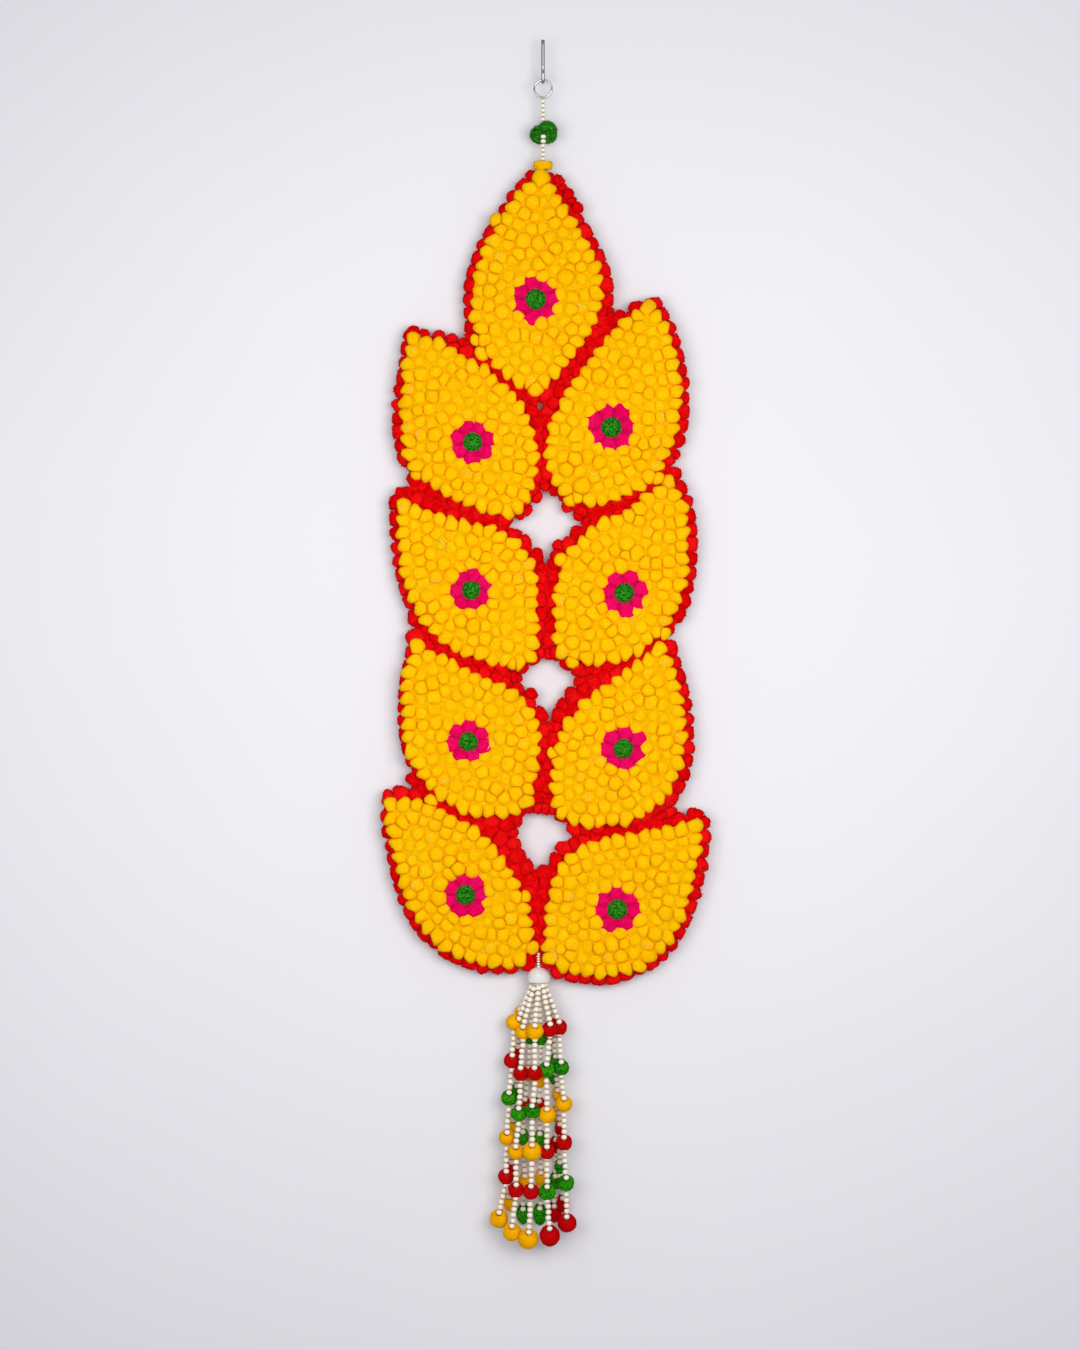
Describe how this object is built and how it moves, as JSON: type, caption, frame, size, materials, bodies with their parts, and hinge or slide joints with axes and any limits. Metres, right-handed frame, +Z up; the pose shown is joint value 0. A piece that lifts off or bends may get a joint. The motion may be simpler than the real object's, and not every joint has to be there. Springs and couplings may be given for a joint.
{
  "type": "marigold leaf hanging with wire hook",
  "caption": "Tall wall hanging of leaf-shaped panels covered in pompoms, each with a flower, hung from a wire hook by a ring and beads, with a tassel of pearls and pompoms below",
  "frame": {"origin": "centre of the flat top end of the hook's shank", "axes": "+Z up, +X to the viewer's right, the front faces -Y"},
  "size_m": [0.33, 0.0512, 1.2061],
  "materials": {
    "yellow_pompom": "fluffy acrylic pile",
    "red_pompom": "fluffy acrylic pile",
    "pink_pompom": "fluffy acrylic pile",
    "green_pompom": "fluffy acrylic pile",
    "white_pile": "soft white pile",
    "pearl": "pearl coat",
    "steel_ring": "nickel plated",
    "steel_wire": "drawn wire"
  },
  "bodies": {
    "root": {"hook": "steel_wire", "ring": "steel_ring", "hanger_beads_upper": "pearl", "hanger_pompoms": "green_pompom", "hanger_beads_lower": "pearl", "collar_pompom": "yellow_pompom", "leaf_top_ground": "red_pompom", "leaf_top_field": "yellow_pompom", "leaf_top_flower": "pink_pompom", "leaf_top_centre": "green_pompom", "leaf_right_1_ground": "red_pompom", "leaf_right_1_field": "yellow_pompom", "leaf_right_1_flower": "pink_pompom", "leaf_right_1_centre": "green_pompom", "leaf_left_1_ground": "red_pompom", "leaf_left_1_field": "yellow_pompom", "leaf_left_1_flower": "pink_pompom", "leaf_left_1_centre": "green_pompom", "leaf_right_2_ground": "red_pompom", "leaf_right_2_field": "yellow_pompom", "leaf_right_2_flower": "pink_pompom", "leaf_right_2_centre": "green_pompom", "leaf_left_2_ground": "red_pompom", "leaf_left_2_field": "yellow_pompom", "leaf_left_2_flower": "pink_pompom", "leaf_left_2_centre": "green_pompom", "leaf_right_3_ground": "red_pompom", "leaf_right_3_field": "yellow_pompom", "leaf_right_3_flower": "pink_pompom", "leaf_right_3_centre": "green_pompom", "leaf_left_3_ground": "red_pompom", "leaf_left_3_field": "yellow_pompom", "leaf_left_3_flower": "pink_pompom", "leaf_left_3_centre": "green_pompom", "leaf_right_4_ground": "red_pompom", "leaf_right_4_field": "yellow_pompom", "leaf_right_4_flower": "pink_pompom", "leaf_right_4_centre": "green_pompom", "leaf_left_4_ground": "red_pompom", "leaf_left_4_field": "yellow_pompom", "leaf_left_4_flower": "pink_pompom", "leaf_left_4_centre": "green_pompom", "tassel_stem": "pearl", "tassel_cap": "white_pile", "tassel": "pearl"}
  },
  "joints": []
}
